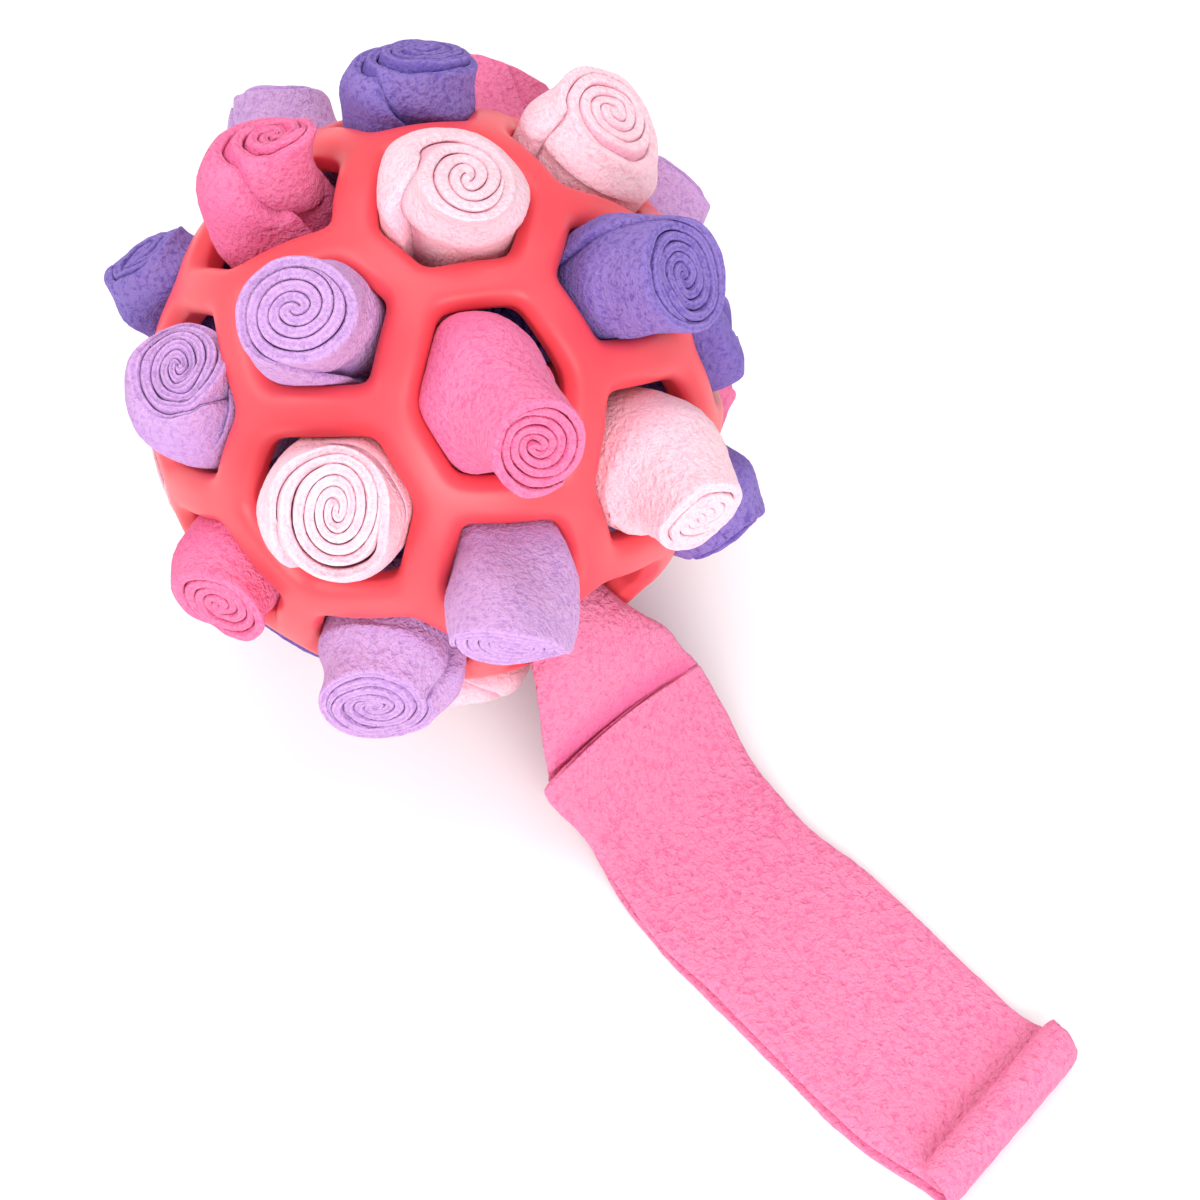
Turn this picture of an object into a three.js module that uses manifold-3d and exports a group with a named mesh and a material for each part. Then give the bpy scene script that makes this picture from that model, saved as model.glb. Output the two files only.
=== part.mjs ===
// Dog snuffle ball: a hollow rubber ball with a lattice of five-sided and six-sided holes.
// A rolled fleece strip is pushed into each hole, and one strip is pulled out and partly unrolled.
// Millimetres, +Z up. The origin is on the surface below the ball's centre, on a roll's flat foot.
import * as THREE from "three";
import { mergeVertices } from "three/addons/utils/BufferGeometryUtils.js";
import Module from "manifold-3d";

const wasm = await Module();
wasm.setup();

// Ball
const BALL_RADIUS = 75;
const WALL = 9;
const CENTRE_HEIGHT = 89;
const LATTICE_TURN = [118.8, 59.8, 147.6]; // degrees about X, Y and Z
const FIVE_SIDE_SHARE = 0.656; // where a lattice corner lies between two five-sided holes
const STEPS_PER_STRUT = 4;
const ADJACENT_COSINE = 0.4; // two five-sided holes nearer than this are neighbours

// A strut's cross-section from its outer middle line to its inner one: inset from the middle line,
// depth below the outer radius, and how far the hole's corners are rounded towards a circle
const STRUT_PROFILE = [
  { inset: 0, depth: 0, round: 0 },
  { inset: 3.8, depth: 0.4, round: 0.3 },
  { inset: 6.1, depth: 3.4, round: 0.4 },
  { inset: 4.4, depth: WALL, round: 0.4 },
  { inset: 0, depth: WALL, round: 0 },
];
const THROAT = 2;
const INNER_EDGE = 3;

// Lattice corners that the rolls push out of place: the three holes round a corner, and its shift
const PUSHED_CORNERS = [
  { holes: [7, 13, 16], right: 5, up: 6 },
  { holes: [7, 18, 22], right: 4, up: 1 },
  { holes: [3, 18, 19], right: 1, up: -4 },
  { holes: [1, 18, 19], right: -2, up: 4 },
  { holes: [1, 12, 13], right: -2, up: 4 },
  { holes: [7, 16, 29], right: -3, up: -2 },
  { holes: [3, 22, 24], right: 3, up: 0 },
];

// Fleece
const CLOTH = 2.8;
const GAP = 0.35; // between a roll and the rubber
const FLAP_STEP = 2.4; // the outer turn's cut edge stands this far above the turn below it
const SQUEEZED_STEP = 0.7; // the same edge where the hole squeezes the roll
const SIDES = 16;

// A roll's length along its hole's axis, from the ball's centre
const INNER_END = 50;
const NECK_START = 61;
const NECK_END = 71.5;
const FIVE = { inner: 12.6, neck: 16 };
const SIX = { inner: 14.6, neck: 18.5 };
const LEAN_POWER = 1.3; // a roll bends more towards its tip
const MOST_TILT = 60; // degrees
const BULGE_PLACE = 0.4; // the share of the outer length at which a roll is swollen
const BULGE = 0.6;
const EDGE_ROUND = 1.8; // the end's rounded edge
const END_DIMPLE = 1.4; // the turns between the rim and the centre lie this far back
const DIMPLE_SHARE = 0.6;

const RUBBER_ROUGHNESS = 0.5;
const FLEECE_ROUGHNESS = 0.95;
const MERGE_WITHIN = 1e-4;
const COLOURS = {
  rubber: 0xf0545c,
  hot: 0xee6ca6,
  pale: 0xf7c4d6,
  lilac: 0xbf98dc,
  purple: 0x6a58bb,
  strip: 0xff7fb2,
};

// One row for each hole, the 12 five-sided ones first. The tip's radius, how far it stands out of
// the ball, how far it leans as seen from outside, and where the outer turn ends (degrees). Two
// rows have a neck of their own, or less tilt (degrees) than MOST_TILT
const ROLLS = [
  { colour: "purple", tip: 16.2, out: 13, right: -6, up: 3, flap: 200 },
  { colour: "purple", tip: 15.5, out: 21, right: -9, up: -4, flap: 160 },
  { colour: "lilac", tip: 14.5, out: 17, right: 1, up: 6, flap: 20 },
  { colour: "lilac", tip: 16.2, out: 20, right: -5, up: 1, flap: 300 },
  { colour: "hot", tip: 16, out: 22, right: 0, up: 0, flap: 90 },
  { colour: "purple", tip: 14.5, out: 10, right: -1, up: 5, flap: 250 },
  { colour: "pale", tip: 15.5, out: 16, right: 3, up: 2, flap: 130 },
  { colour: "lilac", tip: 16.2, out: 18, right: 6, up: 2, flap: 70 },
  { colour: "purple", tip: 14.5, out: 11, right: -5, up: -5, flap: 330 },
  { colour: "pale", tip: 14, out: 8, right: 0, up: 0, flap: 40 },
  { colour: "lilac", tip: 15.5, out: 14, right: 2, up: 1, flap: 280 },
  { colour: "hot", tip: 14.2, out: 9, right: 5, up: 4, flap: 230 },
  { colour: "pale", tip: 16, out: 14, right: 1, up: 5, flap: 200 },
  { colour: "pale", tip: 14.8, out: 12, right: -8, up: 6.5, flap: 250 },
  { colour: "hot", tip: 15, out: 20, right: -4, up: 5, flap: 100 },
  { colour: "lilac", tip: 15.5, out: 17, right: -9, up: 3, flap: 150 },
  { colour: "hot", tip: 15, out: 11, right: -7, up: 12, flap: 300 },
  { colour: "purple", tip: 13.5, out: 1.5, right: 13, up: 3, tilt: 20, flap: 60 },
  { colour: "hot", tip: 12.8, neck: 17.4, out: 25, right: 0, up: -15, flap: 240 },
  { colour: "pale", tip: 12.5, out: 19, right: -11, up: -1, flap: 45 },
  { colour: "purple", tip: 16, out: 17, right: 0, up: 3, flap: 80 },
  { colour: "hot", tip: 14, out: 9, right: 3, up: 11, flap: 10 },
  { colour: "pale", tip: 15.4, out: 16, right: 8, up: 10, flap: 330 },
  null,
  { colour: "lilac", tip: 15.8, out: 14, right: -4, up: 5, flap: 20 },
  { colour: "pale", tip: 16.5, out: 25, right: -2, up: 0, flap: 210 },
  { colour: "lilac", tip: 15.5, out: 4, right: -3, up: 1, flap: 120 },
  { colour: "purple", tip: 17, out: 20, right: -2, up: 5, flap: 170 },
  { colour: "hot", tip: 16, out: 15, right: 1, up: 3, flap: 310 },
  { colour: "lilac", tip: 14.5, out: 5, right: 6, up: 8, flap: 190 },
  { colour: "pale", tip: 15, out: 0, right: 0, up: 0, flap: 350 },
  { colour: "purple", tip: 15, out: 1, right: 0, up: 0, flap: 260 },
];

// The unrolled strip, a doubled sheet. Its lower layer comes out of the empty hole: x and z of its
// middle line, the y of its centre, its width there, and how far its sides hang below the middle
const LAYER_GAP = 0.6;
const FROM_HOLE = [
  { x: 53, z: 71, y: -6, width: 24, arch: 8 },
  { x: 60, z: 69.5, y: -7, width: 27, arch: 8.5 },
  { x: 67.5, z: 64, y: -7.5, width: 32, arch: 8 },
  { x: 73.5, z: 54, y: -6, width: 41, arch: 8 },
  { x: 77, z: 43, y: -4.8, width: 47, arch: 7 },
  { x: 80, z: 32.5, y: -4.2, width: 50.5, arch: 5.5 },
];
// Both layers together: z is the middle between them
const DOUBLED = [
  { x: 82, z: 28.5, y: -3.5, width: 54, arch: 4 },
  { x: 87, z: 21, y: -3, width: 54, arch: 3 },
  { x: 92.5, z: 14.5, y: -2.5, width: 53, arch: 2 },
  { x: 99, z: 9.2, y: -3, width: 52.5, arch: 1.2 },
  { x: 107, z: 5.6, y: -4, width: 52, arch: 0.6 },
  { x: 117, z: 3.6, y: -5, width: 53, arch: 0.2 },
  { x: 128, z: 3.1, y: -5.3, width: 53.5, arch: 0 },
  { x: 146, z: 3.1, y: -3.7, width: 55, arch: 0 },
  { x: 164, z: 3.1, y: -2.6, width: 55.5, arch: 0 },
  { x: 186, z: 3.1, y: -1.8, width: 55.5, arch: 0 },
  { x: 207, z: 3.1, y: 0, width: 55, arch: 0 },
];
const CURL = { x: 221, radius: 3.9, turn: 228, steps: 9, y: 4.5, width: 54, skew: -0.15 };
const FOLD_STEPS = 4;
const STRIP_COLUMNS = 6;
const LAYER_SHIFT = 1.6; // the lower layer shows past the upper one's edge

const radians = THREE.MathUtils.degToRad;
const vector = (x, y, z) => new THREE.Vector3(x, y, z);
const ballCentre = vector(0, 0, CENTRE_HEIGHT);

// Lattice: the centres of the five-sided holes are the corners of an icosahedron
const golden = (1 + Math.sqrt(5)) / 2;
const turn = new THREE.Euler(...LATTICE_TURN.map(radians), "XYZ");
const fiveCentres = [-1, 1]
  .flatMap((a) => [-golden, golden].flatMap((b) => [vector(0, a, b), vector(a, b, 0), vector(b, 0, a)]))
  .map((v) => v.normalize().applyEuler(turn));
const adjacent = (i, j) => i !== j && fiveCentres[i].dot(fiveCentres[j]) > ADJACENT_COSINE;

// The corner of hole i that lies towards hole j
const corners = new Map();
for (let i = 0; i < fiveCentres.length; i++)
  for (let j = 0; j < fiveCentres.length; j++)
    if (adjacent(i, j))
      corners.set(i + "-" + j, {
        order: corners.size,
        point: fiveCentres[j].clone().lerp(fiveCentres[i], FIVE_SIDE_SHARE).normalize(),
      });

// Two directions across an axis, seen from outside the ball: to the right, and up
function across(axis) {
  const up = vector(0, 0, 1).addScaledVector(axis, -axis.z).normalize();
  return { right: up.clone().cross(axis), up };
}

function makeHole(centre, keys) {
  const frame = across(centre);
  const angle = (key) => {
    const p = corners.get(key).point;
    return Math.atan2(p.dot(frame.up), p.dot(frame.right));
  };
  return { centre, ...frame, keys: keys.sort((a, b) => angle(a) - angle(b)) };
}

const holes = fiveCentres.map((centre, i) =>
  makeHole(
    centre,
    fiveCentres.keys().filter((j) => adjacent(i, j)).map((j) => i + "-" + j).toArray(),
  ),
);
for (let i = 0; i < fiveCentres.length; i++)
  for (let j = i + 1; j < fiveCentres.length; j++)
    for (let k = j + 1; k < fiveCentres.length; k++)
      if (adjacent(i, j) && adjacent(j, k) && adjacent(i, k)) {
        const centre = fiveCentres[i].clone().add(fiveCentres[j]).add(fiveCentres[k]).normalize();
        const pairs = [[i, j], [j, i], [j, k], [k, j], [i, k], [k, i]];
        holes.push(makeHole(centre, pairs.map((pair) => pair.join("-"))));
      }

for (const { holes: round, right, up } of PUSHED_CORNERS) {
  const key = holes[round[0]].keys.find((k) => round.every((h) => holes[h].keys.includes(k)));
  const corner = corners.get(key).point;
  const frame = across(corner);
  corner.addScaledVector(frame.right, right / BALL_RADIUS);
  corner.addScaledVector(frame.up, up / BALL_RADIUS).normalize();
}

// One loop round a hole at a row of the strut's profile, relative to the ball's centre
function strutLoop(hole, { inset, depth, round }) {
  const radius = BALL_RADIUS - depth;
  const ends = hole.keys.map((key) => corners.get(key));
  const rim = ends.flatMap((from, i) => {
    const to = ends[(i + 1) % ends.length];
    const [a, b] = from.order < to.order ? [from, to] : [to, from];
    return Array.from({ length: STEPS_PER_STRUT }, (_, step) => {
      const share = a === from ? step / STEPS_PER_STRUT : 1 - step / STEPS_PER_STRUT;
      return a.point.clone().lerp(b.point, share).normalize().multiplyScalar(radius);
    });
  });
  if (inset === 0) return rim;
  const middle = rim.reduce((sum, p) => sum.add(p), vector(0, 0, 0)).divideScalar(rim.length);
  const nearest = Math.min(...rim.map((p) => p.distanceTo(middle)));
  return rim.map((p) => {
    const spoke = p.clone().sub(middle);
    const length = THREE.MathUtils.lerp(spoke.length(), nearest, round) - inset;
    return spoke.setLength(length).add(middle).setLength(radius);
  });
}

// Loops of equal length joined by bands of triangles, and a fan over each end where it is closed
function skin(loops, ends = []) {
  const points = [];
  const add = (...corner) => corner.forEach((p) => points.push(p.x, p.y, p.z));
  loops.slice(1).forEach((next, band) => {
    const loop = loops[band];
    loop.forEach((p, i) => {
      const j = (i + 1) % loop.length;
      add(p, loop[j], next[j]);
      add(p, next[j], next[i]);
    });
  });
  for (const { loop, tip, last } of ends)
    loop.forEach((p, i) => {
      const q = loop[(i + 1) % loop.length];
      if (last) add(p, q, tip);
      else add(q, p, tip);
    });
  return points;
}

function geometryOf(points) {
  const geometry = new THREE.BufferGeometry();
  geometry.setAttribute("position", new THREE.Float32BufferAttribute(points, 3));
  return mergeVertices(geometry, MERGE_WITHIN);
}

function makeShell() {
  const loops = (hole) => STRUT_PROFILE.map((row) => strutLoop(hole, row));
  const geometry = geometryOf(holes.flatMap((hole) => skin(loops(hole))));
  return geometry.translate(...ballCentre);
}

// How far a roll may reach from its hole's axis towards an angle, inside the wall
function holeReach(hole, angle) {
  const way = hole.right.clone().multiplyScalar(Math.cos(angle));
  way.addScaledVector(hole.up, Math.sin(angle));
  const side = hole.centre.clone().cross(way);
  const limits = [THROAT, INNER_EDGE].map((row) => {
    const loop = strutLoop(hole, STRUT_PROFILE[row]);
    for (let i = 0; i < loop.length; i++) {
      const a = loop[i];
      const b = loop[(i + 1) % loop.length];
      const fromA = a.dot(side);
      const fromB = b.dot(side);
      if (fromA <= 0 && fromB > 0) {
        const crossing = a.clone().lerp(b, fromA / (fromA - fromB));
        if (crossing.dot(way) > 0) return crossing.dot(way);
      }
    }
    return Infinity;
  });
  return Math.min(...limits) - GAP;
}

// A roll is wound: each section is one turn of a spiral whose cut edge stands proud as a step
function makeRoll(hole, row) {
  const kind = { ...(hole.keys.length === 5 ? FIVE : SIX), ...row };
  const tipAt = BALL_RADIUS + row.out;
  const lean = hole.right.clone().multiplyScalar(row.right).addScaledVector(hole.up, row.up);
  const leanShare = (s) => Math.max(0, (s - NECK_END) / (tipAt - NECK_END)) ** LEAN_POWER;
  const axisPoint = (s) => hole.centre.clone().multiplyScalar(s).addScaledVector(lean, leanShare(s));
  const bulgeAt = THREE.MathUtils.lerp(NECK_END, tipAt, BULGE_PLACE);
  const sections = [
    { s: INNER_END, radius: kind.inner, step: SQUEEZED_STEP },
    { s: NECK_START, radius: kind.neck, step: SQUEEZED_STEP },
    { s: NECK_END, radius: kind.neck, step: SQUEEZED_STEP },
    { s: bulgeAt, radius: (kind.neck + row.tip) / 2 + BULGE, step: FLAP_STEP, free: true },
    { s: tipAt - EDGE_ROUND, radius: row.tip, step: FLAP_STEP, free: true },
    { s: tipAt, radius: row.tip - EDGE_ROUND / 2, step: FLAP_STEP, free: true },
    { s: tipAt - END_DIMPLE, radius: row.tip * DIMPLE_SHARE, step: FLAP_STEP * DIMPLE_SHARE, free: true },
  ];
  const loops = sections.map(({ s, radius, step, free }) => {
    const along = axisPoint(s + 0.5).sub(axisPoint(s - 0.5)).normalize();
    const bend = new THREE.Quaternion().setFromUnitVectors(hole.centre, along);
    const tilt = new THREE.Quaternion().rotateTowards(bend, radians(row.tilt ?? MOST_TILT));
    return Array.from({ length: SIDES + 1 }, (_, i) => {
      const angle = radians(row.flap) + (i / SIDES) * 2 * Math.PI;
      const limit = free ? radius : Math.min(radius, holeReach(hole, angle));
      const reach = limit - step * (i / SIDES);
      const spoke = hole.right.clone().multiplyScalar(reach * Math.cos(angle));
      spoke.addScaledVector(hole.up, reach * Math.sin(angle)).applyQuaternion(tilt);
      return axisPoint(s).add(spoke);
    });
  });
  const ends = [
    { loop: loops[0], tip: axisPoint(INNER_END), last: false },
    { loop: loops.at(-1), tip: axisPoint(tipAt), last: true },
  ];
  return geometryOf(skin(loops, ends)).translate(...ballCentre);
}

// A closed geometry as a solid that can be joined and cut
function solidOf(geometry) {
  return new wasm.Manifold(
    new wasm.Mesh({
      numProp: 3,
      vertProperties: geometry.attributes.position.array,
      triVerts: new Uint32Array(geometry.index.array),
    }),
  );
}

// What lies above the surface that the ball stands on, so that a pressed roll has a flat foot
function standing(geometry) {
  geometry.computeBoundingBox();
  if (geometry.boundingBox.min.z >= 0) return geometry;
  const size = 4 * BALL_RADIUS;
  const room = new THREE.BoxGeometry(size, size, size).translate(0, 0, size / 2);
  room.deleteAttribute("normal");
  room.deleteAttribute("uv");
  const { vertProperties, triVerts } = solidOf(geometry).intersect(solidOf(mergeVertices(room))).getMesh();
  const cut = new THREE.BufferGeometry();
  cut.setAttribute("position", new THREE.BufferAttribute(vertProperties, 3));
  return cut.setIndex(new THREE.BufferAttribute(triVerts, 1));
}

// The strip's sheet as one line of stations, from inside the ball to the curl and back to its end
function stripStations() {
  const half = (CLOTH + LAYER_GAP) / 2;
  const curlSteps = Array.from({ length: CURL.steps + 1 }, (_, i) => {
    const angle = radians((CURL.turn * i) / CURL.steps);
    const height = half + CLOTH / 2 + CURL.radius * (1 - Math.cos(angle));
    return { ...CURL, x: CURL.x + CURL.radius * Math.sin(angle), z: height, arch: 0 };
  });
  const pair = [...DOUBLED.map((row) => ({ skew: 0, ...row })), ...curlSteps];
  const directions = pair.map((row, i) => {
    const before = pair[Math.max(0, i - 1)];
    const after = pair[Math.min(pair.length - 1, i + 1)];
    const length = Math.hypot(after.x - before.x, after.z - before.z);
    return { x: (after.x - before.x) / length, z: (after.z - before.z) / length };
  });
  const layer = (side) =>
    pair.map((row, i) => ({
      ...row,
      x: row.x - side * half * directions[i].z,
      z: row.z + side * half * directions[i].x,
      y: row.y + (side < 0 ? -LAYER_SHIFT / 2 : LAYER_SHIFT / 2),
    }));
  const end = pair.at(-1);
  const way = directions.at(-1);
  const fold = Array.from({ length: FOLD_STEPS - 1 }, (_, i) => {
    const angle = (Math.PI * (i + 1)) / FOLD_STEPS - Math.PI / 2;
    return {
      ...end,
      x: end.x + half * (Math.cos(angle) * way.x - Math.sin(angle) * way.z),
      z: end.z + half * (Math.cos(angle) * way.z + Math.sin(angle) * way.x),
    };
  });
  const fromHole = FROM_HOLE.map((row) => ({ skew: 0, ...row }));
  return [...fromHole, ...layer(-1), ...fold, ...layer(1).reverse()];
}

function makeStrip() {
  const stations = stripStations();
  const loops = stations.map((row, i) => {
    const before = stations[Math.max(0, i - 1)];
    const after = stations[Math.min(stations.length - 1, i + 1)];
    const length = Math.hypot(after.x - before.x, after.z - before.z);
    const normal = { x: -(after.z - before.z) / length, z: (after.x - before.x) / length };
    const edge = (side) =>
      Array.from({ length: STRIP_COLUMNS + 1 }, (_, column) => {
        const share = column / STRIP_COLUMNS - 0.5;
        const y = row.y + share * row.width;
        return vector(
          row.x + row.skew * (y - CURL.y) + (side * normal.x * CLOTH) / 2,
          y,
          row.z + (side * normal.z * CLOTH) / 2 - row.arch * (2 * share) ** 2,
        );
      });
    return [...edge(-1), ...edge(1).reverse()];
  });
  // The two cut ends are closed by strips between the upper and the lower edge
  const points = skin(loops);
  const cap = (loop, last) => {
    for (let column = 0; column < STRIP_COLUMNS; column++) {
      const far = loop.length - 1 - column;
      const quad = [loop[column], loop[column + 1], loop[far - 1], loop[far]];
      const order = last ? [0, 1, 2, 0, 2, 3] : [0, 2, 1, 0, 3, 2];
      order.forEach((k) => points.push(quad[k].x, quad[k].y, quad[k].z));
    }
  };
  cap(loops[0], false);
  cap(loops.at(-1), true);
  return geometryOf(points);
}

const finish = (colour, roughness) =>
  new THREE.MeshStandardMaterial({ color: COLOURS[colour], roughness, metalness: 0 });

const ball = new THREE.Group();
function piece(name, geometry, material) {
  const mesh = new THREE.Mesh(geometry, material);
  mesh.name = name;
  ball.add(mesh);
}

piece("ball_shell", makeShell(), finish("rubber", RUBBER_ROUGHNESS));
ROLLS.forEach((row, i) => {
  if (!row) return;
  const name = "roll_" + String(i).padStart(2, "0") + "_" + row.colour;
  piece(name, standing(makeRoll(holes[i], row)), finish(row.colour, FLEECE_ROUGHNESS));
});
piece("unrolled_strip", makeStrip(), finish("strip", FLEECE_ROUGHNESS));

export default ball;
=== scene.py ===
# %% [markdown]
# # A dog snuffle ball, dressed
# The part is a hollow rubber ball with 32 holes. A rolled strip of fleece is pushed into each
# hole but one, whose strip is pulled out and lies unrolled on the floor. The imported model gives
# the true sizes and places, so this lesson starts by loading it as a fixed frame, and everything
# that is made here is measured in the same metres.

# %% Load the frame
import math

import bmesh
import bpy
import numpy as np
from mathutils import Matrix, Vector, noise


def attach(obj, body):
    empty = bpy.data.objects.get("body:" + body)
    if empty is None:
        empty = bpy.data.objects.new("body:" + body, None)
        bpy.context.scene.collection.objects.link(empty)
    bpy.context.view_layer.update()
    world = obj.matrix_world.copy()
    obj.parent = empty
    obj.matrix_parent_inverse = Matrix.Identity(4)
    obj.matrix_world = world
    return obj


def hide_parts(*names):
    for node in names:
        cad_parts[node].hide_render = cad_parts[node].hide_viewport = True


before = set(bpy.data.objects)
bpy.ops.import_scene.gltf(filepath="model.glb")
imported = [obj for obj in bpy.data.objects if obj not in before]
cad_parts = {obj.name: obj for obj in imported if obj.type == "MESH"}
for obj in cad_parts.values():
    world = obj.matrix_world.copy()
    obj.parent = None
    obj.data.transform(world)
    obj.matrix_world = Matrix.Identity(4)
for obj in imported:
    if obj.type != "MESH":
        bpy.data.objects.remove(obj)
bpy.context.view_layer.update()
MM = 0.001

# %% [markdown]
# ## Camera, floor and light
# The photograph looks down on the ball at 60 degrees from a good distance, with a long lens.
# A camera is easiest to place by three directions: where its right side, its top and its back
# point. The floor is one plain white sheet, and large soft lamps stand in for a light tent.

# %% Camera
CAMERA_PLACE = Vector((0.35708, -0.24418, 0.72726))
CAMERA_RIGHT = Vector((0.64279, 0.76604, 0.0))
CAMERA_BACK = Vector((0.38302, -0.32139, 0.86603))
CAMERA_UP = CAMERA_BACK.cross(CAMERA_RIGHT)
LENS = 88.2  # millimetres on a 36 mm sensor

camera = bpy.data.objects.new("camera", bpy.data.cameras.new("camera"))
bpy.context.scene.collection.objects.link(camera)
camera.data.lens = LENS
camera.data.sensor_width = 36
turn = Matrix((CAMERA_RIGHT, CAMERA_UP, CAMERA_BACK)).transposed()
camera.matrix_world = Matrix.Translation(CAMERA_PLACE) @ turn.to_4x4()
bpy.context.scene.camera = camera
bpy.context.scene.view_settings.view_transform = "Standard"
print("camera looks down at", round(math.degrees(math.asin(CAMERA_BACK.z)), 1), "degrees")

# %% Colours and nodes
def linear(code):
    """An sRGB hex colour as the linear numbers that a shader works in."""
    shares = [int(code[i : i + 2], 16) / 255 for i in (1, 3, 5)]
    return [s / 12.92 if s <= 0.04045 else ((s + 0.055) / 1.055) ** 2.4 for s in shares] + [1.0]


def add(material, kind, links=None, **settings):
    """Adds one node, sets its values, and links its inputs: {input: (node, output)}."""
    tree = material.node_tree
    node = tree.nodes.new(kind)
    for name, value in settings.items():
        if hasattr(node, name):
            setattr(node, name, value)
        else:
            node.inputs[name.replace("_", " ")].default_value = value
    for name, (source, output) in (links or {}).items():
        tree.links.new(source.outputs[output], node.inputs[name])
    return node


def new_material(name):
    material = bpy.data.materials.new(name)
    material.use_nodes = True
    material.node_tree.nodes.clear()
    return material


# %% Floor and light
def matt_paper():
    """A roll of matt white paper, as a studio floor."""
    paper = new_material("matt white paper")
    shader = add(paper, "ShaderNodeBsdfPrincipled", Base_Color=linear("#f7f7f7"), Roughness=0.9)
    add(paper, "ShaderNodeOutputMaterial", {"Surface": (shader, "BSDF")})
    return paper


FLOOR_SIDE = 6.0
bpy.ops.object.select_all(action="DESELECT")
bpy.ops.mesh.primitive_plane_add(size=FLOOR_SIDE, location=(0, 0, 0))
floor = bpy.context.object
floor.name = "floor"
floor.data.materials.append(matt_paper())


def soft_lamp(name, place, side, watts):
    """A square lamp that looks at the object's middle."""
    lamp = bpy.data.objects.new(name, bpy.data.lights.new(name, "AREA"))
    bpy.context.scene.collection.objects.link(lamp)
    lamp.data.size = side
    lamp.data.energy = watts
    lamp.location = place
    lamp.rotation_euler = (Vector((0.06, 0, 0.07)) - lamp.location).to_track_quat("-Z", "Y").to_euler()


soft_lamp("front lamp", (1.15, -0.55, 0.75), 0.9, 17)
soft_lamp("left lamp", (-0.75, -1.0, 1.1), 1.1, 11)
soft_lamp("top lamp", (-0.2, 0.35, 1.5), 1.2, 11)
world = bpy.data.worlds.new("light tent")
bpy.context.scene.world = world
world.use_nodes = True
world.node_tree.nodes["Background"].inputs["Color"].default_value = linear("#ffffff")
world.node_tree.nodes["Background"].inputs["Strength"].default_value = 0.62

# %% [markdown]
# ## Moulded rubber
# The ball is soft thermoplastic rubber, cast in a polished mould, so it is even in colour, with a
# satin gloss that shows as a pale line along each rounded edge. Rubber lets a little light in,
# which warms its thin edges. A fine grain keeps the gloss from looking like glass.

# %% Rubber
RUBBER_GRAIN, RUBBER_CLOUD = 0.6, 25.0  # millimetres: the mould's grain, and patches of colour


def moulded_rubber():
    rubber = new_material("moulded satin rubber")
    where = add(rubber, "ShaderNodeTexCoord")
    at = {"Vector": (where, "Object")}
    cloud = add(rubber, "ShaderNodeTexNoise", at, Scale=1000 / RUBBER_CLOUD, Detail=2.0)
    tint = add(rubber, "ShaderNodeValToRGB", {"Fac": (cloud, "Fac")})
    tint.color_ramp.elements[0].color = linear("#e6434e")
    tint.color_ramp.elements[1].color = linear("#ee4e57")
    tint.color_ramp.elements[0].position, tint.color_ramp.elements[1].position = 0.3, 0.7
    grain = add(rubber, "ShaderNodeTexNoise", at, Scale=1000 / RUBBER_GRAIN, Detail=2.0)
    bump = add(rubber, "ShaderNodeBump", {"Height": (grain, "Fac")}, Strength=0.12, Distance=0.0001)
    shader = add(
        rubber,
        "ShaderNodeBsdfPrincipled",
        {"Base Color": (tint, "Color"), "Normal": (bump, "Normal")},
        Roughness=0.42,
        IOR=1.5,
        Subsurface_Weight=0.12,
        Subsurface_Radius=(0.004, 0.0015, 0.001),
        Subsurface_Scale=1.0,
    )
    add(rubber, "ShaderNodeOutputMaterial", {"Surface": (shader, "BSDF")})
    return rubber


# %% [markdown]
# ## Brushed fleece
# Polyester fleece is knitted and then brushed, and its fibres curl into small pebbles about two
# millimetres across. The fibres catch light at a glancing angle, which is what sheen is for. The
# shade in the valleys between the pebbles is painted: each colour of fleece gets a valley colour,
# deeper and more saturated, as light that goes down between the fibres comes back coloured. A
# deeper colour still is painted as shade inside the folds and grooves of the cloth.

# %% Fleece
FIBRE = 0.5  # millimetres between two fibres
SHADE_PATCH = 9.0  # millimetres across a patch that is brushed the same way
FIBRE_WEIGHT, PATCH_WEIGHT = 0.35, 0.2
VALLEY_SHADE, NAP_SHADE = 0.5, 0.84  # of the summed noise: where the painted valley shade is full, and where the nap colour is
LIGHT_DEPTH = (0.0022, 0.0013, 0.0013)
MIX_A, MIX_B, MIX_RESULT = 6, 7, 2  # the colour sockets of a mix node


def weighted(material, node, output, weight, rest, rest_output="Value"):
    """One texture times a weight, plus what has been summed so far."""
    step = add(
        material, "ShaderNodeMath", {0: (node, output), 2: (rest, rest_output)}, operation="MULTIPLY_ADD"
    )
    step.inputs[1].default_value = weight
    return step


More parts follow.
